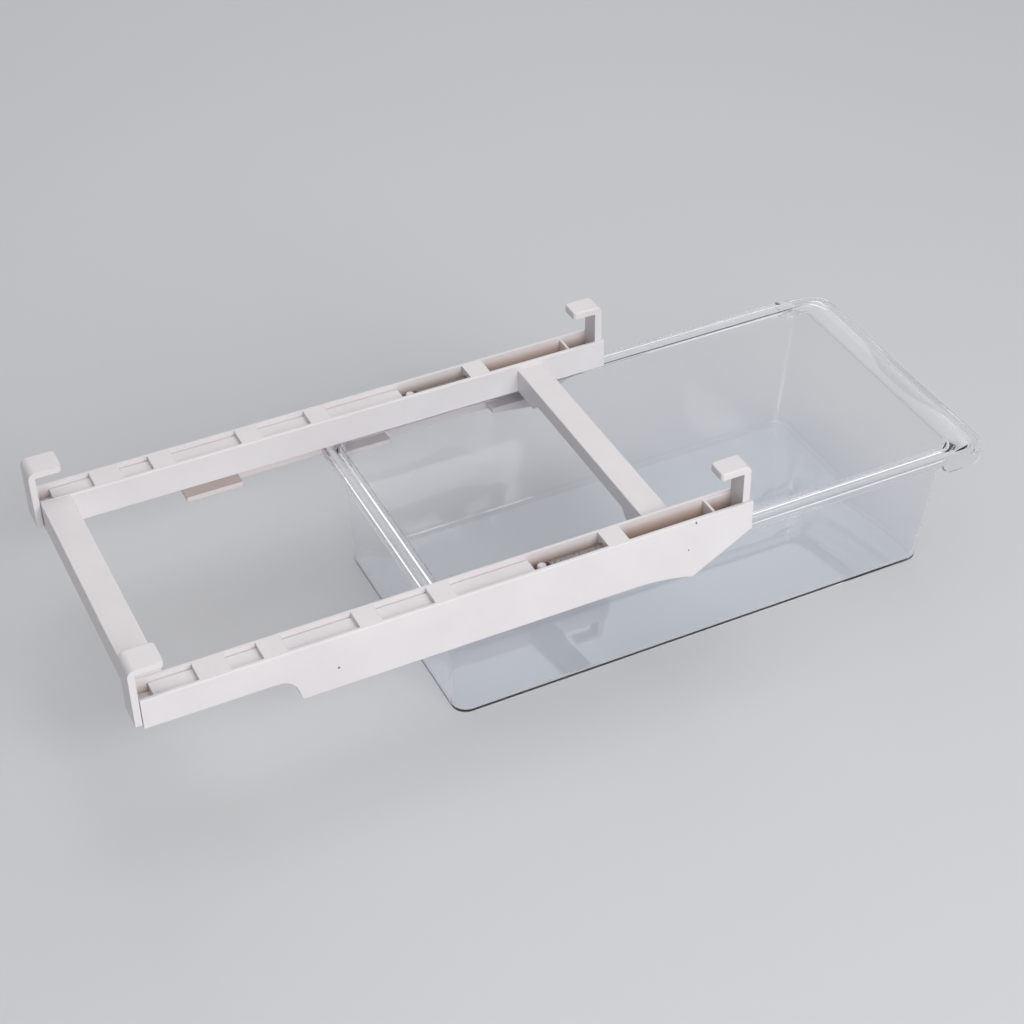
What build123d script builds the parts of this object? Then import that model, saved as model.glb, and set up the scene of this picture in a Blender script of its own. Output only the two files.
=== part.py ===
from build123d import *
import math
import os

# Fridge drawer organizer: a clear bin that hangs in a white frame, which clamps under a shelf.
# Millimetres. X = 0 is the plane of symmetry, the handle faces -Y, and the bin stands on Z = 0.
# The origin is the middle of the whole outline at rest, with the bin drawn part way out.

# Clear bin
BIN_WIDTH = 174.0  # over the rim
BIN_LENGTH = 330.4  # from the rear rim to the front of the handle
BIN_HEIGHT = 81.0
BIN_WALL = 2.0
BIN_FLOOR = 2.0
BASE_EDGE_RADIUS = 3.0
FLOOR_EDGE_RADIUS = 2.0
RIM_PLATE = 2.0  # thickness of the level flange
RIM_SIDE = 11.0  # width of the flange at the sides
RIM_REAR = 10.3
RIM_FRONT = 20.8  # width of the flange that is the handle
RIM_REAR_RADIUS = 12.0
RIM_FRONT_RADIUS = 14.0
OPENING_RADIUS = 7.5
LIP_WALL = 2.0
LIP_DEPTH = 5.3  # how far the rim turns down at the sides and the rear
HANDLE_LIP_DEPTH = 11.1  # how far it turns down round the handle
HANDLE_LENGTH = 31.3  # length of that deeper lip
SIDE_DRAFT = 3.4  # how far the walls lean outward from the base to the rim
REAR_DRAFT = 2.4
FRONT_DRAFT = 9.8
BASE_RADIUS = 9.0
WAVE_SIDE = 8.3  # breadth of the handle's sloping band near the corners
WAVE_MIDDLE = 16.0  # breadth of that band at its broadest
WAVE_CENTER = -14.0  # X of the band's broadest place
WAVE_FLAT = 8.0  # half width of the stretch at full breadth
WAVE_START = 45.0  # distance from that place at which the band begins to widen
WAVE_DROP = 2.6  # how far the band slopes down to the front edge
WAVE_STATIONS = 24  # straight steps of the band's inner edge on each side of X = 0

# Side rails
RAIL_LENGTH = 332.0
RAIL_WIDTH = 16.2
RAIL_DEPTH = 17.7
RAIL_WALL = 2.0
RAIL_FLOOR = 2.0
RAIL_EDGE_RADIUS = 0.6
SKIRT_DEPTH = 14.7  # how far the outer wall runs on below the channel
SKIRT_REAR = 79.5  # from the rail's rear end to the skirt's rear corner
SKIRT_REAR_RUN = 4.7  # length over which the skirt's rear edge slants
SKIRT_REAR_RADIUS = 10.0
SKIRT_SETBACK = 34.6  # from the rail's front end to the skirt's front corner
SKIRT_FLARE_RUN = 35.4
SKIRT_FLARE_DROP = 5.4
STRAP_THICKNESS = 2.6
STRAP_A = 30.0  # from the rail's rear end to each strap's rear edge, and its breadth
STRAP_A_BREADTH = 16.0
STRAP_B = 62.5
STRAP_B_BREADTH = 12.5
STRAP_C = 112.0
STRAP_C_BREADTH = 12.0
STRAP_D = 152.0
STRAP_D_BREADTH = 12.0
STRAP_E_LEAD = 8.0  # from this strap's rear edge to the spring's anchor
STRAP_E_BREADTH = 12.0
WEB_THICKNESS = 1.5  # upright webs across the channel
WEB_SETBACK = 22.2  # from the rail's front end to the rear face of the front web
WEB_FRONT_DROP = 1.6  # how far that web stays below the rail's top
WALL_PAD = 0.6  # step of the inner wall in front of the front web
LEDGE_THICKNESS = 3.0
LEDGE_REAR = 78.5
LEDGE_REAR_LENGTH = 32.1
LEDGE_MIDDLE = 171.0
LEDGE_MIDDLE_LENGTH = 27.3
LEDGE_FRONT_LENGTH = 35.7
LEDGE_FRONT_DROP = 5.2  # how much thicker the front ledge is at its front end
LEDGE_EDGE_RADIUS = 1.0

# Cross bars
REAR_BAR_BREADTH = 16.4
REAR_BAR_DEPTH = 15.9
FRONT_BAR_SETBACK = 55.6  # from the rail's front end to the bar's rear face
FRONT_BAR_BREADTH = 15.8
FRONT_BAR_STEP = 3.45  # how far its top lies below the rails' tops
FRONT_BAR_DEPTH = 9.15
FRONT_BAR_GUSSET = 17.4  # length of the deeper end next to each rail
FRONT_BAR_CURVE = 9.0  # length of the curve up to the shallow middle
BAR_EDGE_RADIUS = 0.6

# Hooks
FRONT_GAP = 18.1  # from the rail's top to the underside of the front flange
FRONT_HOOK_THICKNESS = 4.6
FRONT_FLANGE_THICKNESS = 4.3
FRONT_FLANGE_REACH = 18.0
FRONT_HOOK_SETBACK = 1.0  # from the rail's front end
REAR_GAP = 16.1
REAR_HOOK_THICKNESS = 3.6
REAR_FLANGE_THICKNESS = 3.6
REAR_FLANGE_REACH = 18.1
REAR_HOOK_INSET = 0.5  # each side, from the rail's faces
HOOK_BEND_RADIUS = 4.0
HOOK_CORNER_RADIUS = 2.0
HOOK_EDGE_RADIUS = 0.8

# Slide bars
SLIDE_LENGTH = 208.0
SLIDE_TOP = 2.0
SLIDE_LEG = 1.6
SLIDE_POCKET = 8.0  # length of the sunk stretch next to the rear hook
SLIDE_POCKET_DEPTH = 5.0
LUG_LENGTH = 8.0
LUG_WIDTH = 5.0
LUG_HEIGHT = 6.5
POST_DIAMETER = 4.8  # round post on the lug
POST_DROP = 1.0  # from the bar's top to the post's top
POST_SETBACK = 0.3  # from the lug's front end
POST_EDGE_RADIUS = 0.8

# Springs
WIRE = 0.5
COIL_DIAMETER = 7.2  # outside
COIL_PITCH = 0.92
COIL_TURNS = 40
COIL_DROP = 4.2  # from the rail's top to the top of the coil
END_BEND_RADIUS = 1.1
ANCHOR_LENGTH = 3.0
ANCHOR_WIDTH = 4.0

# Travel
CLOSED_TRAVEL = 155.0  # how far the bin slides back, from where it is drawn to, until it is shut

# Clearances
RIM_GAP = 0.3  # rails above the rim
RIM_SIDE_GAP = 1.6  # skirts beside the rim
SLOT_SLACK = 4.0  # ledges below the rim's turned-down lip
LEDGE_GAP = 0.6  # ledges beside the bin's wall
SLIDE_GAP = 0.3  # slide bars inside their channels, and rear hooks behind the rails
SPRING_GAP = 0.6  # springs inside the holes of the webs
CLOSED_GAP = 3.6  # handle's lip in front of the front ledges when the bin is shut

# Where things lie, worked out from the sizes above
bin_half_width = BIN_WIDTH / 2
opening_half_width = bin_half_width - RIM_SIDE
skirt_inside = bin_half_width + RIM_SIDE_GAP
rail_outside = skirt_inside + RAIL_WALL
rail_inside = rail_outside - RAIL_WIDTH
channel_inside = rail_inside + RAIL_WALL
channel_width = RAIL_WIDTH - 2 * RAIL_WALL
channel_middle = channel_inside + channel_width / 2
ledge_inside = opening_half_width + BIN_WALL + LEDGE_GAP

rail_bottom = BIN_HEIGHT + RIM_GAP
rail_top = rail_bottom + RAIL_DEPTH
channel_floor = rail_bottom + RAIL_FLOOR
strap_bottom = rail_top - STRAP_THICKNESS
skirt_bottom = rail_bottom - SKIRT_DEPTH
ledge_top = BIN_HEIGHT - LIP_DEPTH - SLOT_SLACK
slide_bottom = channel_floor + SLIDE_GAP
slide_top = strap_bottom - SLIDE_GAP

spring_length = COIL_TURNS * COIL_PITCH + 2 * (END_BEND_RADIUS + WIRE)
coil_radius = (COIL_DIAMETER - WIRE) / 2
spring_height = rail_top - COIL_DROP - COIL_DIAMETER / 2
lug_front = SLIDE_LENGTH + LUG_LENGTH
anchor_rear = lug_front + spring_length
strap_e = anchor_rear - STRAP_E_LEAD

front_hook_front = RAIL_LENGTH - FRONT_HOOK_SETBACK
front_hook_rear = front_hook_front - FRONT_HOOK_THICKNESS
web_rear = RAIL_LENGTH - WEB_SETBACK
front_bar_rear = RAIL_LENGTH - FRONT_BAR_SETBACK
skirt_front = RAIL_LENGTH - SKIRT_SETBACK
ledge_front_rear = skirt_front - LEDGE_FRONT_LENGTH

bin_rear = skirt_front + CLOSED_GAP + CLOSED_TRAVEL + HANDLE_LENGTH - BIN_LENGTH
bin_front = bin_rear + BIN_LENGTH
rear_hook_back = -SLIDE_GAP - REAR_HOOK_THICKNESS
rail_rear_y = (rear_hook_back + bin_front) / 2


def y_at(distance):
    """Y of what lies this far forward of the rails' rear ends."""
    return rail_rear_y - distance


def block(inside, outside, rear, front, bottom, top, mode=Mode.ADD):
    """Adds to the open part, or cuts from it, the box between these limits."""
    middle = ((inside + outside) / 2, (y_at(rear) + y_at(front)) / 2, (bottom + top) / 2)
    with Locations(middle):
        Box(outside - inside, front - rear, top - bottom, mode=mode)


def wall_outline(height, inset):
    """Outline of the bin's leaning walls at this height, moved inward by inset."""
    lean = 1 - height / BIN_HEIGHT
    half_width = opening_half_width + BIN_WALL - SIDE_DRAFT * lean - inset
    rear = bin_rear + RIM_REAR - BIN_WALL + REAR_DRAFT * lean + inset
    front = bin_front - RIM_FRONT + BIN_WALL - FRONT_DRAFT * lean - inset
    radius = BASE_RADIUS * lean + (OPENING_RADIUS + BIN_WALL) * (1 - lean) - inset
    with BuildSketch(Plane.XY.offset(height)) as outline:
        with Locations((0, (y_at(rear) + y_at(front)) / 2)):
            RectangleRounded(2 * half_width, front - rear, radius)
    return outline.sketch


def rim_outline(height, inset):
    """Outline of the rim, with its rear and front corners rounded, moved inward by inset."""
    with BuildSketch(Plane.XY.offset(height)) as outline:
        with Locations((0, (y_at(bin_rear) + y_at(bin_front)) / 2)):
            Rectangle(BIN_WIDTH - 2 * inset, BIN_LENGTH - 2 * inset)
        corners = outline.vertices().group_by(Axis.Y)
        fillet(corners[-1], RIM_REAR_RADIUS - inset)
        corners = outline.vertices().filter_by(lambda v: v.Y < y_at(bin_front - RIM_FRONT_RADIUS))
        fillet(corners, RIM_FRONT_RADIUS - inset)
    return outline.sketch


# Clear bin: leaning walls, a level rim with its lip turned down, and the handle's sloping band.
def band_profile(across):
    """Distance from the handle's front to the band's inner edge, at this X."""
    share = (abs(across - WAVE_CENTER) - WAVE_FLAT) / (WAVE_START - WAVE_FLAT)
    share = min(max(share, 0), 1)
    return WAVE_SIDE + (WAVE_MIDDLE - WAVE_SIDE) * (1 + math.cos(math.pi * share)) / 2


band_half = bin_half_width - RIM_FRONT_RADIUS
band_steps = [band_half * step / WAVE_STATIONS for step in range(-WAVE_STATIONS, WAVE_STATIONS + 1)]
band_sections = []
for across in band_steps:
    inner_edge = y_at(bin_front - band_profile(across))
    with BuildSketch(Plane.YZ.offset(across)) as section:
        with BuildLine():
            Polyline(
                (inner_edge, BIN_HEIGHT),
                (y_at(bin_front), BIN_HEIGHT - WAVE_DROP),
                (y_at(bin_front), BIN_HEIGHT),
                close=True,
            )
        make_face()
    band_sections.append(section.sketch)

with BuildPart() as clear_bin:
    loft([wall_outline(0, 0), wall_outline(BIN_HEIGHT, 0)])
    fillet(clear_bin.faces().sort_by(Axis.Z)[0].edges(), BASE_EDGE_RADIUS)
    extrude(rim_outline(BIN_HEIGHT - RIM_PLATE, 0), amount=RIM_PLATE)
    lip_bottom = BIN_HEIGHT - LIP_DEPTH
    extrude(rim_outline(lip_bottom, 0) - rim_outline(lip_bottom, LIP_WALL), amount=LIP_DEPTH)
    handle_bottom = BIN_HEIGHT - HANDLE_LIP_DEPTH
    handle_lip = rim_outline(handle_bottom, 0) - rim_outline(handle_bottom, LIP_WALL)
    handle_lip = split(handle_lip, Plane.XZ.offset(-y_at(bin_front - HANDLE_LENGTH)), keep=Keep.TOP)
    extrude(handle_lip, amount=HANDLE_LIP_DEPTH)
    loft([wall_outline(BIN_FLOOR, BIN_WALL), wall_outline(BIN_HEIGHT, BIN_WALL)], mode=Mode.SUBTRACT)
    floor_middle = (0, y_at((bin_rear + bin_front) / 2), BIN_FLOOR)
    floor_edges = clear_bin.faces().filter_by(Axis.Z).sort_by_distance(floor_middle)[0].edges()
    fillet(floor_edges, FLOOR_EDGE_RADIUS)
    loft(band_sections, ruled=True, mode=Mode.SUBTRACT)
clear_bin.part.label = "bin"

# Side rails: a channel with an outer wall that runs on down as a skirt, straps and webs across the
# channel, and ledges that carry the bin's rim.
skirt_slant = SKIRT_REAR - SKIRT_REAR_RUN
straps = (
    (STRAP_A, STRAP_A_BREADTH),
    (STRAP_B, STRAP_B_BREADTH),
    (STRAP_C, STRAP_C_BREADTH),
    (STRAP_D, STRAP_D_BREADTH),
    (strap_e, STRAP_E_BREADTH),
)
ledges = ((LEDGE_REAR, LEDGE_REAR_LENGTH), (LEDGE_MIDDLE, LEDGE_MIDDLE_LENGTH))

with BuildPart() as right_rail:
    with BuildSketch(Plane.XZ.offset(-y_at(0))) as channel:
        with BuildLine():
            Polyline(
                (rail_inside, rail_bottom),
                (rail_outside, rail_bottom),
                (rail_outside, rail_top),
                (skirt_inside, rail_top),
                (skirt_inside, channel_floor),
                (channel_inside, channel_floor),
                (channel_inside, rail_top),
                (rail_inside, rail_top),
                close=True,
            )
        make_face()
    extrude(amount=RAIL_LENGTH)
    with BuildSketch(Plane.YZ.offset(skirt_inside)) as skirt:
        with BuildLine():
            Polyline(
                (y_at(RAIL_LENGTH), rail_bottom),
                (y_at(RAIL_LENGTH), channel_floor),
                (y_at(0), channel_floor),
                (y_at(0), rail_bottom),
                (y_at(skirt_slant), rail_bottom),
                (y_at(SKIRT_REAR), skirt_bottom),
                (y_at(skirt_front - SKIRT_FLARE_RUN), skirt_bottom),
            )
            TangentArc(
                (y_at(skirt_front - SKIRT_FLARE_RUN), skirt_bottom),
                (y_at(skirt_front), skirt_bottom - SKIRT_FLARE_DROP),
                tangent=(-1, 0),
            )
            Line(
                (y_at(skirt_front), skirt_bottom - SKIRT_FLARE_DROP),
                (y_at(RAIL_LENGTH), rail_bottom),
            )
        make_face()
        fillet(skirt.vertices().sort_by_distance((y_at(skirt_slant), rail_bottom))[0], SKIRT_REAR_RADIUS)
    extrude(amount=RAIL_WALL)
    top_edges = right_rail.edges().filter_by(Axis.Y).group_by(Axis.Z)[-1].sort_by(Axis.X)
    fillet([top_edges[0], top_edges[-1]], RAIL_EDGE_RADIUS)
    for rear, breadth in straps:
        block(channel_inside, skirt_inside, rear, rear + breadth, strap_bottom, rail_top)
    block(channel_inside, skirt_inside, strap_e, strap_e + WEB_THICKNESS, channel_floor, strap_bottom)
    web_top = rail_top - WEB_FRONT_DROP
    block(channel_inside, skirt_inside, web_rear, web_rear + WEB_THICKNESS, channel_floor, web_top)
    block(
        channel_inside, channel_inside + WALL_PAD, web_rear + WEB_THICKNESS, front_hook_rear,
        channel_floor, web_top,
    )
    with Locations(Plane.XZ.offset(-y_at(strap_e)) * Location((channel_middle, spring_height))):
        Hole(COIL_DIAMETER / 2 + SPRING_GAP, WEB_THICKNESS)
    block(
        channel_middle - ANCHOR_WIDTH / 2, channel_middle + ANCHOR_WIDTH / 2,
        anchor_rear, anchor_rear + ANCHOR_LENGTH, channel_floor, spring_height,
    )
    for rear, length in ledges:
        block(ledge_inside, skirt_inside, rear, rear + length, ledge_top - LEDGE_THICKNESS, ledge_top)
    with BuildSketch(Plane.YZ.offset(ledge_inside)) as front_ledge:
        with BuildLine():
            Polyline(
                (y_at(ledge_front_rear), ledge_top),
                (y_at(ledge_front_rear), ledge_top - LEDGE_THICKNESS),
                (y_at(skirt_front), ledge_top - LEDGE_THICKNESS - LEDGE_FRONT_DROP),
                (y_at(skirt_front), ledge_top),
                close=True,
            )
        make_face()
    extrude(amount=skirt_inside - ledge_inside)
    ledge_corners = right_rail.edges().filter_by(Axis.Z).group_by(Axis.X)[0]
    fillet(ledge_corners, LEDGE_EDGE_RADIUS)
right_rail.part.label = "right_rail"

with BuildPart() as left_rail:
    mirror(right_rail.part, about=Plane.YZ)
left_rail.part.label = "left_rail"

# Cross bars between the rails; the front one is shallow, with a deeper end next to each rail.
with BuildPart() as rear_crossbar:
    block(-rail_inside, rail_inside, 0, REAR_BAR_BREADTH, rail_top - REAR_BAR_DEPTH, rail_top)
    fillet(rear_crossbar.edges().filter_by(Axis.X).group_by(Axis.Z)[-1], BAR_EDGE_RADIUS)
rear_crossbar.part.label = "rear_crossbar"

front_bar_top = rail_top - FRONT_BAR_STEP
front_bar_bottom = front_bar_top - FRONT_BAR_DEPTH
gusset_edge = rail_inside - FRONT_BAR_GUSSET
curve_edge = gusset_edge - FRONT_BAR_CURVE
curve_middle = (gusset_edge + curve_edge) / 2
with BuildPart() as front_crossbar:
    with BuildSketch(Plane.XZ.offset(-y_at(front_bar_rear))) as bar_front:
        with BuildLine():
            Polyline(
                (0, front_bar_bottom),
                (0, front_bar_top),
                (rail_inside, front_bar_top),
                (rail_inside, rail_bottom),
                (gusset_edge, rail_bottom),
            )
            Bezier(
                (gusset_edge, rail_bottom),
                (curve_middle, rail_bottom),
                (curve_middle, front_bar_bottom),
                (curve_edge, front_bar_bottom),
            )
            Line((curve_edge, front_bar_bottom), (0, front_bar_bottom))
        make_face()
        mirror(about=Plane.YZ)
    extrude(amount=FRONT_BAR_BREADTH)
    fillet(front_crossbar.edges().filter_by(Axis.X).group_by(Axis.Z)[-1], BAR_EDGE_RADIUS)
front_crossbar.part.label = "front_crossbar"

# Front hooks: a plate that stands in the channel and a flange that reaches back over the shelf.
flange_top = rail_top + FRONT_GAP + FRONT_FLANGE_THICKNESS
flange_tip = front_hook_front - FRONT_FLANGE_REACH
with BuildPart() as right_front_hook:
    with BuildSketch(Plane.YZ.offset(channel_inside)) as hook_side:
        with BuildLine():
            Polyline(
                (y_at(front_hook_front), channel_floor),
                (y_at(front_hook_front), flange_top),
                (y_at(flange_tip), flange_top),
                (y_at(flange_tip), flange_top - FRONT_FLANGE_THICKNESS),
                (y_at(front_hook_rear), flange_top - FRONT_FLANGE_THICKNESS),
                (y_at(front_hook_rear), channel_floor),
                close=True,
            )
        make_face()
        bend = hook_side.vertices().sort_by_distance((y_at(front_hook_front), flange_top))
        fillet(bend[0], HOOK_BEND_RADIUS)
    extrude(amount=channel_width)
    fillet(right_front_hook.edges().filter_by(Axis.Z).group_by(Axis.Y)[-1], HOOK_CORNER_RADIUS)
    tip_edges = right_front_hook.edges().filter_by(Axis.X).group_by(Axis.Y)[-1]
    fillet(tip_edges.sort_by(Axis.Z)[-1], HOOK_EDGE_RADIUS)
right_front_hook.part.label = "right_front_hook"

with BuildPart() as left_front_hook:
    mirror(right_front_hook.part, about=Plane.YZ)
left_front_hook.part.label = "left_front_hook"

# Rear hooks: each closes the rail's rear end and reaches forward over the shelf.
rear_flange_top = rail_top + REAR_GAP + REAR_FLANGE_THICKNESS
rear_flange_tip = rear_hook_back + REAR_FLANGE_REACH
with BuildPart() as right_rear_hook:
    with BuildSketch(Plane.YZ.offset(rail_inside + REAR_HOOK_INSET)) as hook_side:
        with BuildLine():
            Polyline(
                (y_at(rear_hook_back), slide_bottom),
                (y_at(rear_hook_back), rear_flange_top),
                (y_at(rear_flange_tip), rear_flange_top),
                (y_at(rear_flange_tip), rear_flange_top - REAR_FLANGE_THICKNESS),
                (y_at(-SLIDE_GAP), rear_flange_top - REAR_FLANGE_THICKNESS),
                (y_at(-SLIDE_GAP), slide_bottom),
                close=True,
            )
        make_face()
        bend = hook_side.vertices().sort_by_distance((y_at(rear_hook_back), rear_flange_top))
        fillet(bend[0], HOOK_BEND_RADIUS)
    extrude(amount=RAIL_WIDTH - 2 * REAR_HOOK_INSET)
    fillet(right_rear_hook.edges().filter_by(Axis.Z).group_by(Axis.Y)[0], HOOK_CORNER_RADIUS)
right_rear_hook.part.label = "right_rear_hook"

with BuildPart() as left_rear_hook:
    mirror(right_rear_hook.part, about=Plane.YZ)
left_rear_hook.part.label = "left_rear_hook"

# Slide bars: hollow from below, sunk next to the rear hook, with a lug at the front for the spring
# and a round post on it.
slide_inside = channel_inside + SLIDE_GAP
slide_outside = skirt_inside - SLIDE_GAP
lug_inside = channel_middle - LUG_WIDTH / 2
with BuildPart() as right_slide_bar:
    block(slide_inside, slide_outside, -SLIDE_GAP, SLIDE_LENGTH, slide_bottom, slide_top)
    block(
        slide_inside, slide_outside, -SLIDE_GAP, SLIDE_POCKET,
        slide_top - SLIDE_POCKET_DEPTH, slide_top, mode=Mode.SUBTRACT,
    )
    block(
        slide_inside + SLIDE_LEG, slide_outside - SLIDE_LEG, SLIDE_POCKET + SLIDE_LEG, SLIDE_LENGTH - SLIDE_LEG,
        slide_bottom, slide_top - SLIDE_TOP, mode=Mode.SUBTRACT,
    )
    block(
        lug_inside, lug_inside + LUG_WIDTH, SLIDE_LENGTH, lug_front,
        slide_bottom, slide_bottom + LUG_HEIGHT,
    )
    post_top = slide_top - POST_DROP
    post_middle = lug_front - POST_SETBACK - POST_DIAMETER / 2
    with Locations((channel_middle, y_at(post_middle), post_top)):
        Cylinder(POST_DIAMETER / 2, post_top - slide_bottom, align=(Align.CENTER, Align.CENTER, Align.MAX))
    post_edge = right_slide_bar.edges().filter_by(GeomType.CIRCLE).sort_by(Axis.Z)[-1]
    fillet(post_edge, POST_EDGE_RADIUS)
right_slide_bar.part.label = "right_slide_bar"

with BuildPart() as left_slide_bar:
    mirror(right_slide_bar.part, about=Plane.YZ)
left_slide_bar.part.label = "left_slide_bar"


# Springs: one wire each, wound round Y, whose ends turn to run straight into the lug and the anchor.
def coil_point(middle, turn):
    """Point of the wire's middle line after this many turns from the rear end."""
    angle = 2 * math.pi * turn - math.pi / 2
    return Vector(
        middle + coil_radius * math.cos(angle),
        y_at(lug_front + WIRE + END_BEND_RADIUS + COIL_PITCH * turn),
        spring_height + coil_radius * math.sin(angle),
    )


def coil_direction(turn):
    """Direction of the wire there, as a vector of length one."""
    angle = 2 * math.pi * turn - math.pi / 2
    around = 2 * math.pi * coil_radius
    return Vector(-math.sin(angle) * around, -COIL_PITCH, math.cos(angle) * around).normalized()


def two_arcs(start, start_direction, end, end_direction):
    """Draws two arcs that meet smoothly and keep both end directions."""
    span = end - start
    both = start_direction + end_direction
    along = span.dot(both)
    slack = 4 - both.dot(both)
    reach = (math.sqrt(along * along + slack * span.dot(span)) - along) / slack
    start_handle = start + start_direction * reach
    end_handle = end - end_direction * reach
    meeting = (start_handle + end_handle) / 2
    TangentArc(start, meeting, tangent=start_direction)
    TangentArc(meeting, end, tangent=end_handle - start_handle)


def make_spring(middle):
    """Spring in the channel whose middle has this X."""
    forward = Vector(0, -1, 0)
    start, start_direction = coil_point(middle, 0), coil_direction(0)
    end, end_direction = coil_point(middle, COIL_TURNS), coil_direction(COIL_TURNS)
    bend = END_BEND_RADIUS * math.tan(math.acos(start_direction.dot(forward)) / 2)
    first = start - (start_direction + forward) * bend
    last = end + (end_direction + forward) * bend
    with BuildLine() as wire:
        Line(Vector(first.X, y_at(lug_front), first.Z), first)
        TangentArc(first, start, tangent=forward)
        for half in range(2 * COIL_TURNS):
            here, there = half / 2, half / 2 + 1 / 2
            two_arcs(
                coil_point(middle, here), coil_direction(here), coil_point(middle, there), coil_direction(there),
            )
        TangentArc(end, last, tangent=end_direction)
        Line(last, Vector(last.X, y_at(anchor_rear), last.Z))
    with BuildPart() as spring:
        with BuildSketch(Plane(wire.line @ 0, z_dir=wire.line % 0)):
            Circle(WIRE / 2)
        sweep(path=wire.line)
    return spring.part


steps_per_turn = 48
wire_points = [coil_point(0, step / steps_per_turn) for step in range(3 * steps_per_turn)]
wire_gap = min(
    (wire_points[0] - point).length for point in wire_points[steps_per_turn // 2 :]
) - WIRE
print(f"spring's least gap to itself {wire_gap:.3f} mm")

right_spring = make_spring(channel_middle)
right_spring.label = "right_spring"
left_spring = make_spring(-channel_middle)
left_spring.label = "left_spring"

os.makedirs("parts", exist_ok=True)
export_step(clear_bin.part, "parts/bin.step")
export_step(right_rail.part, "parts/right_rail.step")
export_step(left_rail.part, "parts/left_rail.step")
export_step(rear_crossbar.part, "parts/rear_crossbar.step")
export_step(front_crossbar.part, "parts/front_crossbar.step")
export_step(right_front_hook.part, "parts/right_front_hook.step")
export_step(left_front_hook.part, "parts/left_front_hook.step")
export_step(right_rear_hook.part, "parts/right_rear_hook.step")
export_step(left_rear_hook.part, "parts/left_rear_hook.step")
export_step(right_slide_bar.part, "parts/right_slide_bar.step")
export_step(left_slide_bar.part, "parts/left_slide_bar.step")
export_step(right_spring, "parts/right_spring.step")
export_step(left_spring, "parts/left_spring.step")
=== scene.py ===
import math

import bpy
import numpy as np
from mathutils import Matrix, Vector


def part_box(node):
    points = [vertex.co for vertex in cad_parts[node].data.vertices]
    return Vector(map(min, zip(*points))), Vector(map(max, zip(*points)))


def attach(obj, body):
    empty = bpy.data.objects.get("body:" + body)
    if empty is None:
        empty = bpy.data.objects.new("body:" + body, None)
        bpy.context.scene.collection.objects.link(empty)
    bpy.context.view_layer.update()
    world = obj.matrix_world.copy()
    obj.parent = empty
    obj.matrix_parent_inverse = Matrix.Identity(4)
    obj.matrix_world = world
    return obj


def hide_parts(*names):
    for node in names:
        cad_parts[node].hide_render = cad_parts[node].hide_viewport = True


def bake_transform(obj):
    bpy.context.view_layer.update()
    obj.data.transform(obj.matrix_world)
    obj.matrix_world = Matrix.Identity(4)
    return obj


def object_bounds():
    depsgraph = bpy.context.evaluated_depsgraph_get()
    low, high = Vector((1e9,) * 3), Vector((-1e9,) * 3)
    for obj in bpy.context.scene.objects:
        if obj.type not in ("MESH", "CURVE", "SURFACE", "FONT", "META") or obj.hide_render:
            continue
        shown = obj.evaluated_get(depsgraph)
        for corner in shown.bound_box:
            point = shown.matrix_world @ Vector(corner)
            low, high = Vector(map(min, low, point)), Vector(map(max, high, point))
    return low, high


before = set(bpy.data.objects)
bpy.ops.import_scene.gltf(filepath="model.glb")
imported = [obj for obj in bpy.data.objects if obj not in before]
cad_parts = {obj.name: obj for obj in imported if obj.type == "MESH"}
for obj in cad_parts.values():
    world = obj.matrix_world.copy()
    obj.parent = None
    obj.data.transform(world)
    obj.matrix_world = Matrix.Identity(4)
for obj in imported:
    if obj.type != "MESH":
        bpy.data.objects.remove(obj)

cad_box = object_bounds()

# Clear bin, in metres. Its long sides run along Y, and the handle is at the low end of Y.
bin_low, bin_high = (np.array(corner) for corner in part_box("bin"))
bin_height = bin_high[2] - bin_low[2]
RIM_SIDE = 0.0110
RIM_REAR = 0.0103
RIM_FRONT = 0.0208
BIN_WALL = 0.0020
BIN_FLOOR = 0.0020
RIM_PLATE = 0.0020
LIP_WALL = 0.0020
LIP_DEPTH = 0.0053
HANDLE_LIP_DEPTH = 0.0111
HANDLE_LENGTH = 0.0313
STEP_LENGTH = 0.0012
SIDE_DRAFT = 0.0034
REAR_DRAFT = 0.0024
FRONT_DRAFT = 0.0098
BASE_RADIUS = 0.0090
OPENING_RADIUS = 0.0075
RIM_REAR_RADIUS = 0.0120
RIM_FRONT_RADIUS = 0.0140
BASE_EDGE_RADIUS = 0.0030
FLOOR_EDGE_RADIUS = 0.0020
LIP_EDGE_RADIUS = LIP_WALL / 3
RIM_EDGE_RADIUS = 0.0006
WAVE_SIDE = 0.0083
WAVE_MIDDLE = 0.0160
WAVE_FLAT = 0.0080
WAVE_START = 0.0450
WAVE_DROP = 0.0026
WAVE_CENTER = -0.0140
LEFT_BAND_END = 0.0014  # breadth of the band where it runs out along each side
RIGHT_BAND_END = 0.0100
BEAD_HALF = 0.0004  # half breadth and height of the fine bead along the band's inner edge
BEAD_HEIGHT = 0.00015
BEAD_FADE = 0.0200  # the bead is gone this far from the rear, and whole at twice that
HOLD = 0.0004  # breadth of the flat stretch kept beside each rounded edge

# Steps round the bin's outlines, and rings over its band
END_STEPS = 72
SIDE_STEPS = 48
CORNER_STEPS = 14
SLOPE_SHARES = (0.08, 0.4, 0.75, 0.99)  # rings up the band's slope
BEAD_OFFSETS = (-1, -0.6, 0, 0.6, 1, 1.4)  # rings across the bead, in its half breadths
ON_FRONT = 1e-6  # a point of the rim this near its front lies on the front side
side_length = bin_high[1] - bin_low[1] - RIM_REAR_RADIUS - RIM_FRONT_RADIUS
step_share = 1 - (HANDLE_LENGTH - RIM_FRONT_RADIUS) / side_length
side_shares = np.unique(np.concatenate([
    np.linspace(0, 1, SIDE_STEPS, endpoint=False),
    step_share + np.array([-1.5, -1, -0.5, 0, 0.5]) * STEP_LENGTH / side_length,
]))

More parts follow.
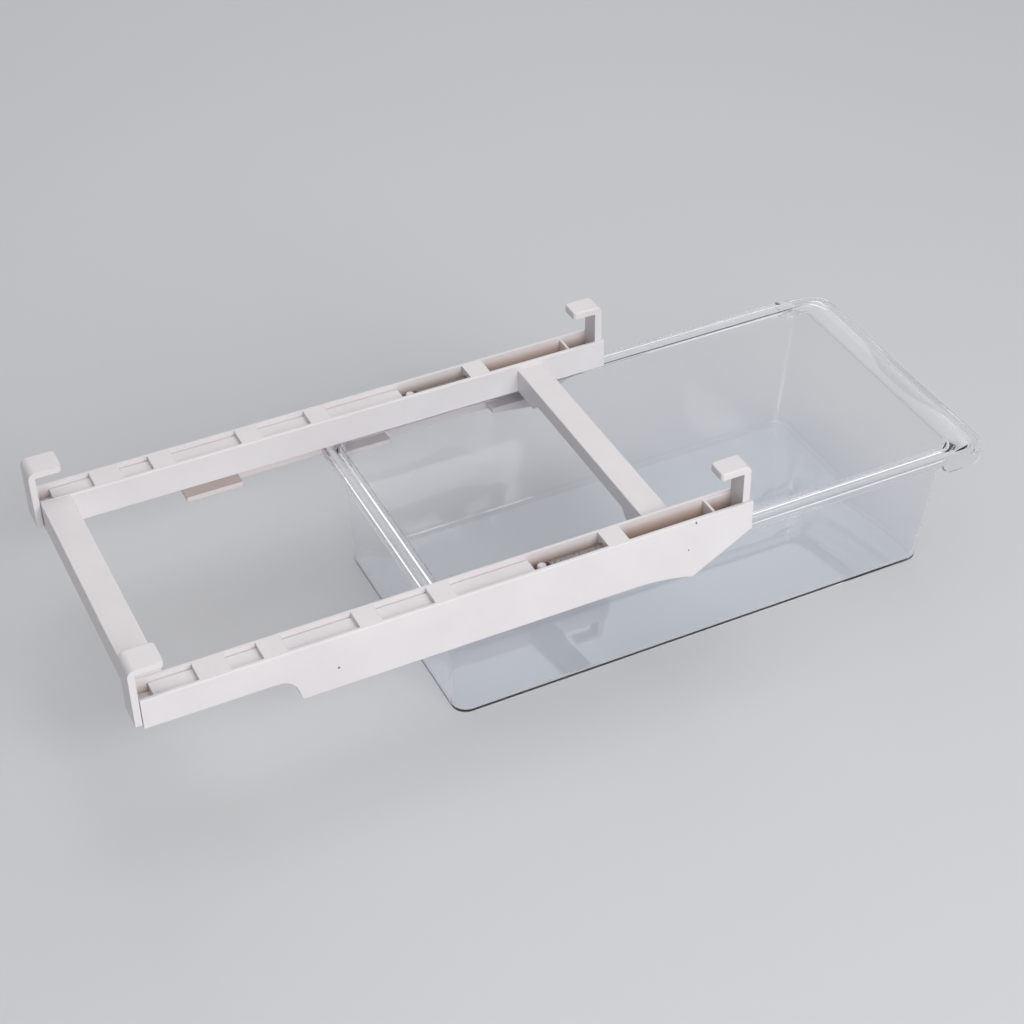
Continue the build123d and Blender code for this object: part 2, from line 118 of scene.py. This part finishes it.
# Springs, in metres
WIRE = 0.0005
COIL_DIAMETER = 0.0072
COIL_TURNS = 40
END_BEND_RADIUS = 0.0011
STEPS_PER_TURN = 28
BEND_STEPS = 7
WIRE_SIDES = 10


# ---------------------------------------------------------------- meshes
def mesh_piece(name, points, faces):
    """Makes a smooth object at the origin from whole arrays of points and faces."""
    mesh = bpy.data.meshes.new(name)
    mesh.from_pydata(points.tolist(), [], faces)
    mesh.polygons.foreach_set("use_smooth", np.ones(len(mesh.polygons), bool))
    mesh.update()
    piece = bpy.data.objects.new(name, mesh)
    bpy.context.scene.collection.objects.link(piece)
    return piece


def ring_faces(rings, around):
    """Quads between each ring of points and the next one, closed around."""
    ring = np.arange(rings - 1)[:, None] * around
    here = np.arange(around)[None, :]
    there = (here + 1) % around
    further = ring + around
    quads = np.stack([ring + here, ring + there, further + there, further + here], axis=-1)
    return quads.reshape(-1, 4).tolist()


# ---------------------------------------------------------------- clear bin
def outline(half_width, rear, front, rear_radius, front_radius):
    """Rounded rectangle, counter-clockwise from above: corners in even angles, straight sides in
    fixed shares of their length. Every outline has the same steps, so that rings match."""
    quarter = np.linspace(0, np.pi / 2, CORNER_STEPS, endpoint=False)[:, None]
    ends = np.linspace(0, 1, END_STEPS, endpoint=False)[:, None]
    sides = side_shares[:, None]
    back_sides = np.concatenate([[[0.0]], (1 - side_shares[1:])[::-1, None]])
    corners = (
        ((half_width - rear_radius, rear - rear_radius), rear_radius, 0.0, ends),
        ((rear_radius - half_width, rear - rear_radius), rear_radius, 0.5, sides),
        ((front_radius - half_width, front + front_radius), front_radius, 1.0, ends),
        ((half_width - front_radius, front + front_radius), front_radius, 1.5, back_sides),
    )
    runs = []
    for number, (middle, radius, start, shares) in enumerate(corners):
        angle = start * np.pi + quarter
        arc = np.array(middle) + radius * np.hstack([np.cos(angle), np.sin(angle)])
        last_angle = (start + 0.5) * np.pi
        last = np.array(middle) + radius * np.array([math.cos(last_angle), math.sin(last_angle)])
        next_middle, next_radius, next_start, _ = corners[(number + 1) % 4]
        next_angle = next_start * np.pi
        next_turn = np.array([math.cos(next_angle), math.sin(next_angle)])
        following = np.array(next_middle) + next_radius * next_turn
        runs += [arc, last + (following - last) * shares]
    return np.concatenate(runs)


def wall_ring(height, inset):
    """Ring on the leaning wall at this height above the base, moved inward by inset."""
    lean = 1 - height / bin_height
    radius = BASE_RADIUS * lean + (OPENING_RADIUS + BIN_WALL) * (1 - lean) - inset
    plan = outline(
        bin_high[0] - RIM_SIDE + BIN_WALL - SIDE_DRAFT * lean - inset,
        bin_high[1] - RIM_REAR + BIN_WALL - REAR_DRAFT * lean - inset,
        bin_low[1] + RIM_FRONT - BIN_WALL + FRONT_DRAFT * lean + inset,
        radius, radius,
    )
    return np.column_stack([plan, np.full(len(plan), bin_low[2] + height)])


def rim_ring(height, inset):
    """Ring on the rim's outline, moved inward by inset, at one height or a height for each point."""
    plan = outline(
        bin_high[0] - inset, bin_high[1] - inset, bin_low[1] + inset,
        RIM_REAR_RADIUS - inset, RIM_FRONT_RADIUS - inset,
    )
    return np.column_stack([plan, np.broadcast_to(bin_low[2] + height, len(plan))])


def rounded_corner(radius, steps):
    """Two arrays that go from (1, 0) to (0, 1) of the radius on a quarter circle, convex side out."""
    angle = np.linspace(0, np.pi / 2, steps)
    return radius * (1 - np.sin(angle)), radius * (1 - np.cos(angle))


def bin_rings():
    """Rings from the middle of the base, up the outside, over the rim and down the inside.

    Each ring is an outline at one height. Close pairs of rings hold the flat stretches flat beside
    the small rounded edges. The handle's band is a slope from the rim's edge, which drops there by a
    fixed height, up to an inner edge whose distance from the front follows a cosine. A bead lies on
    that inner edge, a flattened parabola across, and fades out towards the rear."""
    edge = rim_ring(0.0, 0.0)
    inward = rim_ring(0.0, 0.001) - edge
    inward /= np.linalg.norm(inward, axis=1, keepdims=True)
    from_front = edge[:, 1] - bin_low[1]
    lip_share = np.clip((HANDLE_LENGTH - from_front) / STEP_LENGTH, 0, 1)
    lip_height = bin_height - LIP_DEPTH - (HANDLE_LIP_DEPTH - LIP_DEPTH) * lip_share
    fade = np.clip((HANDLE_LENGTH - from_front) / (HANDLE_LENGTH - RIM_FRONT_RADIUS), 0, 1)
    drop = WAVE_DROP * fade * fade * (3 - 2 * fade)
    wave = np.clip((np.abs(edge[:, 0] - WAVE_CENTER) - WAVE_FLAT) / (WAVE_START - WAVE_FLAT), 0, 1)
    front_breadth = WAVE_SIDE + (WAVE_MIDDLE - WAVE_SIDE) * (1 + np.cos(np.pi * wave)) / 2
    band_end = np.interp(edge[:, 0], (bin_low[0], bin_high[0]), (LEFT_BAND_END, RIGHT_BAND_END))
    side_breadth = WAVE_SIDE + (band_end - WAVE_SIDE) * np.clip(from_front / HANDLE_LENGTH, 0, 1)
    breadth = np.where(from_front < ON_FRONT, front_breadth, side_breadth)
    bead = BEAD_HEIGHT * np.clip((bin_high[1] - edge[:, 1]) / BEAD_FADE - 1, 0, 1)

    rings = []
    out, up = rounded_corner(BASE_EDGE_RADIUS, steps=8)
    rings += [wall_ring(0.0, BASE_EDGE_RADIUS + HOLD)]
    rings += [wall_ring(height, inset) for inset, height in zip(out, up)]
    rings += [wall_ring(BASE_EDGE_RADIUS + HOLD, 0.0)]
    under_rim = bin_height - RIM_PLATE
    rings += [wall_ring(under_rim - 3 * HOLD, 0.0), wall_ring(under_rim, -HOLD)]
    rings += [rim_ring(under_rim, LIP_WALL + 2 * HOLD), rim_ring(under_rim - HOLD, LIP_WALL)]
    small, rise = rounded_corner(LIP_EDGE_RADIUS, steps=5)
    rings += [rim_ring(lip_height + HOLD + LIP_EDGE_RADIUS, LIP_WALL)]
    rings += [
        rim_ring(lip_height + height, LIP_WALL - inset)
        for inset, height in zip(small[::-1], rise[::-1])
    ]
    rings += [rim_ring(lip_height + height, inset) for inset, height in zip(small, rise)]
    rings += [rim_ring(lip_height + HOLD + LIP_EDGE_RADIUS, 0.0)]
    rings += [rim_ring(bin_height - drop - RIM_EDGE_RADIUS - HOLD, 0.0)]
    turn, fall = rounded_corner(RIM_EDGE_RADIUS, steps=5)
    rings += [
        rim_ring(bin_height - drop - height, inset)
        for inset, height in zip(turn[::-1], fall[::-1])
    ]
    for share in SLOPE_SHARES:
        ring = rim_ring(bin_height, 0.0)
        reach = RIM_EDGE_RADIUS + (breadth - BEAD_HALF - RIM_EDGE_RADIUS) * share
        ring[:, :2] += inward[:, :2] * reach[:, None]
        ring[:, 2] = bin_low[2] + bin_height - drop * (1 - share)
        rings.append(ring)
    for offset in BEAD_OFFSETS:
        ring = rim_ring(bin_height, 0.0)
        ring[:, :2] += inward[:, :2] * (breadth + offset * BEAD_HALF)[:, None]
        ring[:, 2] += bead * max(1 - offset * offset, 0)
        rings.append(ring)
    rings += [wall_ring(bin_height, BIN_WALL - RIM_EDGE_RADIUS - HOLD)]
    rings += [wall_ring(bin_height - height, BIN_WALL - inset) for inset, height in zip(turn, fall)]
    rings += [wall_ring(bin_height - RIM_EDGE_RADIUS - HOLD, BIN_WALL)]
    rings += [wall_ring(BIN_FLOOR + FLOOR_EDGE_RADIUS + HOLD, BIN_WALL)]
    into, lift = rounded_corner(FLOOR_EDGE_RADIUS, steps=7)
    rings += [
        wall_ring(BIN_FLOOR + height, BIN_WALL + inset)
        for inset, height in zip(into[::-1], lift[::-1])
    ]
    rings += [wall_ring(BIN_FLOOR, BIN_WALL + FLOOR_EDGE_RADIUS + HOLD)]
    return np.array(rings)


def make_bin():
    """Closed shell: the quads between the rings, with one flat face in the middle of the base and one in
    the middle of the inside's floor."""
    rings = bin_rings()
    count, around = rings.shape[:2]
    faces = ring_faces(count, around)
    faces.append(list(range(around))[::-1])
    faces.append(list(range((count - 1) * around, count * around)))
    piece = mesh_piece("bin_shell", rings.reshape(-1, 3), faces)
    piece.data.materials.append(materials["clear_plastic"])
    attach(piece, "drawer")
    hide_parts("bin")


# ---------------------------------------------------------------- springs
def spring_path(low, high):
    """Middle line of the wire, from the bar's lug to the anchor: a helix about Y whose first and last
    points turn on a quarter circle to run straight along Y for one wire diameter."""
    middle = (low + high) / 2
    radius = (COIL_DIAMETER - WIRE) / 2
    start_y = high[1] - WIRE - END_BEND_RADIUS
    end_y = low[1] + WIRE + END_BEND_RADIUS
    turn = np.linspace(0, COIL_TURNS, COIL_TURNS * STEPS_PER_TURN + 1)
    angle = 2 * np.pi * turn - np.pi / 2
    coil = np.column_stack([
        middle[0] + radius * np.cos(angle),
        start_y + (end_y - start_y) * turn / COIL_TURNS,
        middle[2] + radius * np.sin(angle),
    ])
    bend = np.linspace(0, np.pi / 2, BEND_STEPS)[1:]
    across = END_BEND_RADIUS * np.sin(bend)
    along = END_BEND_RADIUS * (1 - np.cos(bend))
    bottom = middle[2] - radius
    lead_in = np.column_stack([middle[0] - across, start_y + along, np.full(len(bend), bottom)])[::-1]
    lead_out = np.column_stack([middle[0] + across, end_y - along, np.full(len(bend), bottom)])
    first = lead_in[:1] * [1, 0, 1] + [0, high[1], 0]
    last = lead_out[-1:] * [1, 0, 1] + [0, low[1], 0]
    return np.concatenate([first, lead_in, coil, lead_out, last]), middle


def make_spring(side):
    """Tube round the spring's path: circles square to the path, set out from the spring's own axis."""
    low, high = (np.array(corner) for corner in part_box(f"{side}_spring"))
    path, middle = spring_path(low, high)
    tangent = np.gradient(path, axis=0)
    tangent /= np.linalg.norm(tangent, axis=1, keepdims=True)
    outward = (path - middle) * [1, 0, 1]
    outward -= tangent * np.sum(outward * tangent, axis=1, keepdims=True)
    outward /= np.linalg.norm(outward, axis=1, keepdims=True)
    across = np.cross(tangent, outward)
    turn = np.linspace(0, 2 * np.pi, WIRE_SIDES, endpoint=False)[None, :, None]
    circles = outward[:, None] * np.cos(turn) + across[:, None] * np.sin(turn)
    points = path[:, None] + WIRE / 2 * circles
    faces = ring_faces(len(path), WIRE_SIDES)
    faces.append(list(range(WIRE_SIDES))[::-1])
    faces.append([(len(path) - 1) * WIRE_SIDES + corner for corner in range(WIRE_SIDES)])
    piece = mesh_piece(f"{side}_spring_wire", points.reshape(-1, 3), faces)
    piece.data.materials.append(materials["spring_steel"])
    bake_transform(piece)
    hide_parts(f"{side}_spring")


# ---------------------------------------------------------------- materials
# Colours, from the darker or fuller one to the lighter one
WHITE_MOULDING = ((0.760, 0.722, 0.735, 1), (0.805, 0.775, 0.785, 1))
# Painted shade: a warm darker tone in the rails' channels, standing in for shade and bounced light in the
# hollow
PAINTED_CHANNEL_SHADE = (0.620, 0.470, 0.400, 1)
ROSE_MOTTLE = (0.66, 0.60, 0.60, 1)
CLEAR_MOULDING = ((0.945, 0.955, 0.975, 1), (0.975, 0.980, 0.990, 1))
CLEAR_SHADE = (0.90, 0.912, 0.930, 1)
DRAWN_WIRE = ((0.42, 0.40, 0.38, 1), (0.74, 0.72, 0.69, 1))
GATE_MARK = ((0.03, 0.025, 0.03, 1), (0.14, 0.11, 0.11, 1))
CLEAR_INDEX = 1.49

# The rails' channels, in metres: a channel is as wide as the hook at its front end. The first number
# of a pair is where the painted shade starts and the second where it is whole.
hook_low, hook_high = (np.array(corner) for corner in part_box("right_front_hook"))
CHANNEL_MIDDLE = float(hook_low[0] + hook_high[0]) / 2
CHANNEL_HALF = float(hook_high[0] - hook_low[0]) / 2
RAIL_TOP = float(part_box("right_rail")[1][2])
SHADE_ACROSS = (0.0006, 0.0002)  # outside the channel's inner faces
SHADE_DEPTH = (0.0008, 0.0110)  # below the rail's top
UNDERSIDE_DEPTH = (0.0180, 0.0176)  # below the rail's top, across the rail's underside
UNDERSIDE_SHARE = 0.3  # the painted shade's share below the rail's underside
EASED_EDGE = 0.0004  # radius that every white edge is shaded with


class Surface:
    """Empty node material, or world, with short ways to add and join its nodes."""

    def __init__(self, name, kind="materials", output="OutputMaterial"):
        self.owner = getattr(bpy.data, kind).new(name)
        self.owner.use_nodes = True
        self.tree = self.owner.node_tree
        self.tree.nodes.clear()
        self.output = self.tree.nodes.new("ShaderNode" + output)

    def feed(self, socket, value):
        """Sets an input to a value, or joins it to another node's output."""
        if isinstance(value, bpy.types.NodeSocket):
            self.tree.links.new(value, socket)
        else:
            socket.default_value = value

    def add(self, kind, **inputs):
        """Adds a node and feeds each of the named inputs."""
        node = self.tree.nodes.new("ShaderNode" + kind)
        for name, value in inputs.items():
            self.feed(node.inputs[name.replace("_", " ")], value)
        return node

    def finished(self, shader):
        """Joins the last shader to the output, and returns the material or world."""
        self.feed(self.output.inputs["Surface"], shader)
        return self.owner

    def clouds(self, scale, detail=2.0):
        """Noise in Object coordinates, in cells of 1 / scale metres."""
        place = self.add("TexCoord").outputs["Object"]
        return self.add("TexNoise", Vector=place, Scale=scale, Detail=detail).outputs["Fac"]

    def span(self, value, low, high, first=0.0, last=1.0):
        """Maps value from low..high to first..last, held at both ends."""
        node = self.add("MapRange", Value=value, From_Min=low, From_Max=high, To_Min=first, To_Max=last)
        return node.outputs["Result"]

    def math(self, operation, first, second=0.5):
        node = self.add("Math")
        node.operation = operation
        self.feed(node.inputs[0], first)
        self.feed(node.inputs[1], second)
        return node.outputs["Value"]

    def blend(self, share, first, second):
        """Colour that goes from first to second as share goes from 0 to 1."""
        node = self.add("Mix")
        node.data_type = "RGBA"
        for place, value in ((0, share), (6, first), (7, second)):  # share, A and B of a colour mix
            self.feed(node.inputs[place], value)
        return node.outputs[2]

    def mixed(self, share, first, second):
        """Shader that goes from first to second as share goes from 0 to 1."""
        node = self.add("MixShader", Fac=share)
        self.feed(node.inputs[1], first)
        self.feed(node.inputs[2], second)
        return node.outputs["Shader"]


def moulded_white(name, painted_channel_shade=False):
    """Satin white moulding: faint clouds in tone and gloss, fine grain, eased edges.

    Inside a rail's channel, a warm painted shade deepens with depth: its share is a ramp of the height
    below the rail's top times a step of the distance from the channel's middle, both Object coordinates."""
    surface = Surface(name)
    clouds = surface.clouds(22, 3)
    tone = surface.blend(surface.span(clouds, 0.3, 0.7), *WHITE_MOULDING)
    if painted_channel_shade:
        place = surface.add("SeparateXYZ", Vector=surface.add("TexCoord").outputs["Object"])
        across = surface.math("ABSOLUTE", place.outputs["X"])
        off_middle = surface.math("ABSOLUTE", surface.math("SUBTRACT", across, CHANNEL_MIDDLE))
        inside = surface.span(off_middle, *(CHANNEL_HALF + beyond for beyond in SHADE_ACROSS))
        depth = surface.span(place.outputs["Z"], *(RAIL_TOP - down for down in SHADE_DEPTH))
        above = surface.span(
            place.outputs["Z"], *(RAIL_TOP - down for down in UNDERSIDE_DEPTH), UNDERSIDE_SHARE, 1,
        )
        share = surface.math("MULTIPLY", inside, surface.math("MULTIPLY", depth, above))
        # Painted shade: the channel's tone turns darker and warm with depth
        tone = surface.blend(share, tone, PAINTED_CHANNEL_SHADE)
    mottle = surface.clouds(260, 2)
    tone = surface.blend(surface.span(mottle, 0.35, 0.65, 0.0, 0.05), tone, ROSE_MOTTLE)
    grain = surface.clouds(1800, 2)
    eased = surface.add("Bevel", Radius=EASED_EDGE)
    eased.samples = 4
    bump = surface.add(
        "Bump", Strength=0.05, Distance=0.0002, Height=grain, Normal=eased.outputs["Normal"],
    )
    shader = surface.add(
        "BsdfPrincipled",
        Base_Color=tone,
        Roughness=surface.span(clouds, 0.2, 0.8, 0.34, 0.44),
        Normal=bump.outputs["Normal"],
    )
    return surface.finished(shader.outputs["BSDF"])


def clear_moulding(name):
    """Clear moulding: glass-like plastic with a faint cool tint and slow flow waves. Lamp light and the
    light that matte surfaces send on pass straight through it, dimmed by its tint."""
    surface = Surface(name)
    flow = surface.clouds(14, 1)
    bump = surface.add("Bump", Strength=0.05, Distance=0.0003, Height=flow)
    shader = surface.add(
        "BsdfPrincipled",
        Base_Color=surface.blend(flow, *CLEAR_MOULDING),
        Roughness=surface.span(flow, 0.2, 0.8, 0.010, 0.035),
        Normal=bump.outputs["Normal"],
        Transmission_Weight=1,
        IOR=CLEAR_INDEX,
    )
    through = surface.add("BsdfTransparent", Color=CLEAR_SHADE)
    path = surface.add("LightPath")
    seen = shader.outputs["BSDF"]
    for ray in ("Is Shadow Ray", "Is Diffuse Ray"):
        seen = surface.mixed(path.outputs[ray], seen, through.outputs["BSDF"])
    return surface.finished(seen)


def drawn_wire(name):
    """Bright drawn spring wire: metal with fine streaks in its tone and gloss."""
    surface = Surface(name)
    streaks = surface.clouds(900, 2)
    shader = surface.add(
        "BsdfPrincipled",
        Base_Color=surface.blend(surface.span(streaks, 0.3, 0.7), *DRAWN_WIRE),
        Roughness=surface.span(streaks, 0.2, 0.8, 0.22, 0.40),
        Metallic=1.0,
    )
    return surface.finished(shader.outputs["BSDF"])


def gate_mark(name):
    """Dark scuffed spot, from grey to near black."""
    surface = Surface(name)
    spots = surface.clouds(2500, 2)
    shader = surface.add(
        "BsdfPrincipled",
        Base_Color=surface.blend(surface.span(spots, 0.3, 0.7), *GATE_MARK),
        Roughness=surface.span(spots, 0.2, 0.8, 0.5, 0.7),
    )
    return surface.finished(shader.outputs["BSDF"])


materials = {
    # The rails' material carries painted shade inside their channels
    "rail_plastic_painted_shade": moulded_white("moulded_rail_painted_shade", painted_channel_shade=True),
    "white_plastic": moulded_white("moulded_white"),
    "clear_plastic": clear_moulding("clear_moulding"),
    "spring_steel": drawn_wire("drawn_wire"),
    "gate_mark": gate_mark("gate_mark"),
}

# ---------------------------------------------------------------- the object
make_bin()
for side in ("left", "right"):
    make_spring(side)

white_nodes = [
    "left_rail", "right_rail", "rear_crossbar", "front_crossbar", "left_front_hook", "right_front_hook",
    "left_rear_hook", "right_rear_hook", "left_slide_bar", "right_slide_bar",
]
for name in white_nodes:
    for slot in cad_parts[name].material_slots:
        slot.material = materials["rail_plastic_painted_shade" if name.endswith("rail") else "white_plastic"]


# ---------------------------------------------------------------- gate marks
MARK_RISE = 0.00022
MARK_SINK = 0.00005  # how far a mark's edge lies inside the face
MARK_WAVES = ((2, 0.22), (5, 0.12))  # waves round a mark's edge, and their share of its radius


def make_gate_marks(places, rings=6, around=20):
    """Shallow lumps on the left rail's outer face: each is a disc whose radius is uneven, a sum of two
    waves of the angle, and whose height is a flattened dome. A place is its Y, Z, radius and tallness."""
    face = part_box("left_rail")[0][0]
    angle = np.linspace(0, 2 * np.pi, around, endpoint=False)
    share = np.linspace(1, 0, rings)
    (slow, slow_share), (quick, quick_share) = MARK_WAVES
    points, faces = [], []
    for number, (along, height, radius, tallness) in enumerate(places):
        uneven = 1 + slow_share * np.sin(slow * angle + number)
        uneven += quick_share * np.sin(quick * angle + 2 * number)
        reach = radius * share[:, None] * uneven[None, :]
        rise = MARK_RISE * np.sqrt(1 - share ** 2)[:, None] - MARK_SINK
        grid = np.stack([
            np.broadcast_to(face - rise, reach.shape),
            along + reach * np.cos(angle),
            height + reach * tallness * np.sin(angle),
        ], axis=-1)
        first = len(points) * rings * around
        points.append(grid.reshape(-1, 3))
        faces += [[corner + first for corner in quad] for quad in ring_faces(rings, around)]
    piece = mesh_piece("gate_marks", np.concatenate(points), faces)
    piece.data.materials.append(materials["gate_mark"])
    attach(piece, "frame")


rail_rear_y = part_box("left_rail")[1][1]
make_gate_marks([
    (rail_rear_y - 0.2979, 0.0970, 0.00055, 1.5),
    (rail_rear_y - 0.2942, 0.0802, 0.00040, 1.6),
    (rail_rear_y - 0.0988, 0.0793, 0.00050, 1.7),
])


# ---------------------------------------------------------------- studio
FLOOR_SIZE = 8.0
FLOOR_GAP = 0.0002  # between the floor and the bin's base
PAPER = ((0.655, 0.660, 0.675, 1), (0.675, 0.680, 0.695, 1))
BACKDROP = (0.500, 0.506, 0.522, 1)
DAYLIGHT = (0.96, 0.97, 1.0, 1)
DAYLIGHT_STRENGTH = 0.28
LAMP_TARGET = (0, 0, 0.05)
LIGHT_TURNS = 24
FADE_START = 0.6  # from the middle of the floor to where it starts to pass into the backdrop's tone
FADE_END = 1.6


def seen_directly(surface):
    """1 for rays that show a surface to the camera, straight or in a mirror or through glass, else 0."""
    rays = surface.add("LightPath").outputs
    mirrored = surface.math("MAXIMUM", rays["Is Glossy Ray"], rays["Is Transmission Ray"])
    return surface.math("MAXIMUM", rays["Is Camera Ray"], mirrored)


def studio_paper(name):
    """Matte pale paper with a very faint mottle, which passes into the backdrop's even tone far from
    the object: the share is a ramp of the distance from the floor's middle, in Object coordinates."""
    surface = Surface(name)
    mottle = surface.clouds(3, 2)
    shader = surface.add(
        "BsdfPrincipled",
        Base_Color=surface.blend(mottle, *PAPER),
        Roughness=surface.span(mottle, 0, 1, 0.7, 0.75),
    )
    distance = surface.add("VectorMath", Vector=surface.add("TexCoord").outputs["Object"])
    distance.operation = "LENGTH"
    far = surface.span(distance.outputs["Value"], FADE_START, FADE_END)
    share = surface.math("MULTIPLY", far, seen_directly(surface))
    glow = surface.add("Emission", Color=BACKDROP)
    return surface.finished(surface.mixed(share, shader.outputs["BSDF"], glow.outputs["Emission"]))


def make_floor():
    """Square floor just below the bin."""
    corners = np.array([[-1, -1, 0], [1, -1, 0], [1, 1, 0], [-1, 1, 0]]) * FLOOR_SIZE / 2
    floor = mesh_piece("floor", corners + [0, 0, cad_box[0][2] - FLOOR_GAP], [[0, 1, 2, 3]])
    floor.data.materials.append(studio_paper("studio_floor"))


def add_softbox(name, place, size, power):
    """Square area lamp that faces the object."""
    lamp = bpy.data.lights.new(name, "AREA")
    lamp.size = size
    lamp.energy = power
    holder = bpy.data.objects.new(name, lamp)
    holder.location = place
    facing = Vector(LAMP_TARGET) - Vector(place)
    holder.rotation_euler = facing.to_track_quat("-Z", "Y").to_euler()
    bpy.context.scene.collection.objects.link(holder)


make_floor()
add_softbox("key_lamp", (-1.9, -0.2, 1.15), 1.3, 32)
add_softbox("top_lamp", (0.2, 0.1, 1.9), 1.4, 9)
add_softbox("back_lamp", (1.5, -0.75, 1.35), 1.6, 7)

sky = Surface("studio", "worlds", "OutputWorld")
daylight = sky.add("Background", Color=DAYLIGHT, Strength=DAYLIGHT_STRENGTH)
backdrop = sky.add("Background", Color=BACKDROP)
bpy.context.scene.world = sky.finished(sky.mixed(
    seen_directly(sky), daylight.outputs["Background"], backdrop.outputs["Background"],
))
bpy.context.scene.view_settings.view_transform = "Standard"
# Light turns many times inside the clear rim before it leaves, and crosses many clear faces on its
# way down.
for limit in ("max_bounces", "glossy_bounces", "transmission_bounces", "transparent_max_bounces"):
    setattr(bpy.context.scene.cycles, limit, LIGHT_TURNS)


# ---------------------------------------------------------------- camera
AZIMUTH = math.radians(244.707)
ELEVATION = math.radians(39.019)
ROLL = math.radians(-0.919)
LENS = 74.38  # millimetres, on a sensor of the width below
SENSOR_WIDTH = 36
NEAR_LIMIT = 0.01
CAMERA_PLACE = (-0.80875, 0.38771, 0.78612)

back = Vector((
    math.sin(AZIMUTH) * math.cos(ELEVATION),
    -math.cos(AZIMUTH) * math.cos(ELEVATION),
    math.sin(ELEVATION),
))
level = Vector((math.cos(AZIMUTH), math.sin(AZIMUTH), 0))
upright = back.cross(level)
right = level * math.cos(ROLL) + upright * math.sin(ROLL)
up = upright * math.cos(ROLL) - level * math.sin(ROLL)
camera = bpy.data.objects.new("camera", bpy.data.cameras.new("camera"))
camera.data.lens = LENS
camera.data.sensor_width = SENSOR_WIDTH
camera.data.clip_start = NEAR_LIMIT
turned = Matrix((right, up, back)).transposed().to_4x4()
turned.translation = Vector(CAMERA_PLACE)
camera.matrix_world = turned
bpy.context.scene.collection.objects.link(camera)
bpy.context.scene.camera = camera
